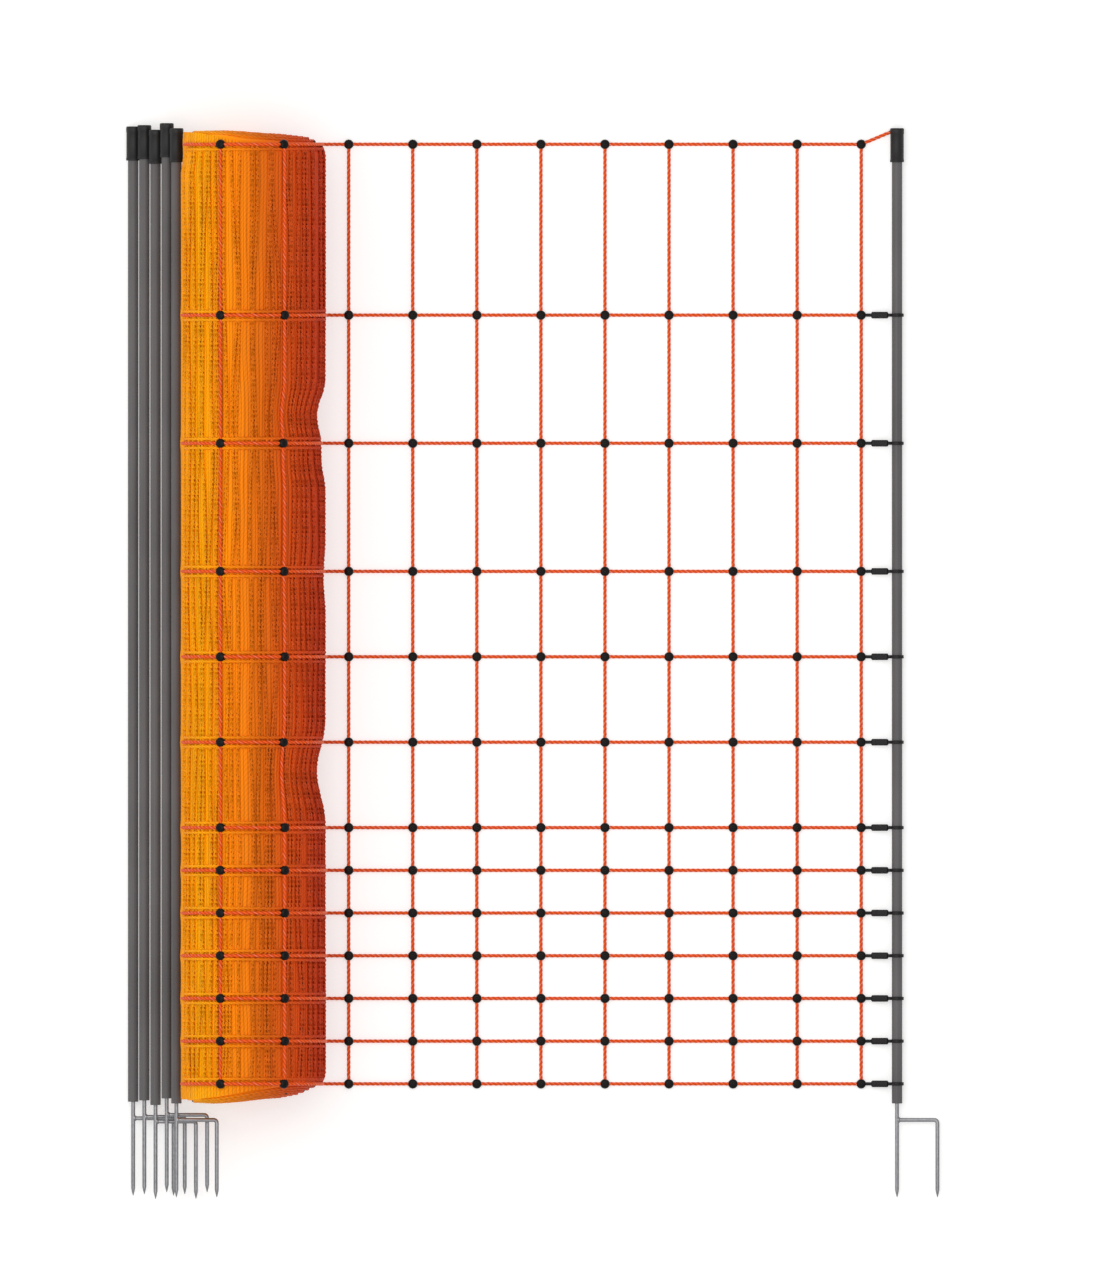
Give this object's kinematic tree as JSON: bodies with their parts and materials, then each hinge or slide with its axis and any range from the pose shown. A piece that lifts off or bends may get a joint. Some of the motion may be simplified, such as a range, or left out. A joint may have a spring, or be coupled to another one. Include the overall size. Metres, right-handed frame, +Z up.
{
  "type": "electric poultry netting",
  "caption": "Orange electrified poultry net, part wound on a roll, part laid flat between gathered posts and a clipped end post with double ground spikes.",
  "frame": {"origin": "middle of the outline of the whole layout, on the floor it lies on", "axes": "+X along the open net from the gathered posts to the end post, +Y up the fence from ground spikes to post caps, +Z up from the floor"},
  "size_m": [0.9524, 1.2596, 0.1771],
  "materials": {
    "polywire_orange": "twisted orange polyethylene strand with fine steel conductors",
    "roll_orange": "many turns of orange polyethylene netting wound together",
    "joint_black": "moulded black joint at each crossing",
    "post_grey": "extruded grey plastic",
    "cap_black": "moulded black plastic",
    "clip_black": "moulded black plastic",
    "spike_steel": "galvanised round steel rod"
  },
  "bodies": {
    "root": {"open_net": "polywire_orange", "net_roll": "roll_orange", "end_post": "post_grey", "end_post_cap": "cap_black", "end_post_spike": "spike_steel", "stacked_post_1": "post_grey", "stacked_post_1_cap": "cap_black", "stacked_post_1_spike": "spike_steel", "stacked_post_2": "post_grey", "stacked_post_2_cap": "cap_black", "stacked_post_2_spike": "spike_steel", "stacked_post_3": "post_grey", "stacked_post_3_cap": "cap_black", "stacked_post_3_spike": "spike_steel", "stacked_post_4": "post_grey", "stacked_post_4_cap": "cap_black", "stacked_post_4_spike": "spike_steel", "stacked_post_5": "post_grey", "stacked_post_5_cap": "cap_black", "stacked_post_5_spike": "spike_steel", "post_clip_1": "clip_black", "post_clip_2": "clip_black", "post_clip_3": "clip_black", "post_clip_4": "clip_black", "post_clip_5": "clip_black", "post_clip_6": "clip_black", "post_clip_7": "clip_black", "post_clip_8": "clip_black", "post_clip_9": "clip_black", "post_clip_10": "clip_black", "post_clip_11": "clip_black", "post_clip_12": "clip_black"}
  },
  "joints": []
}
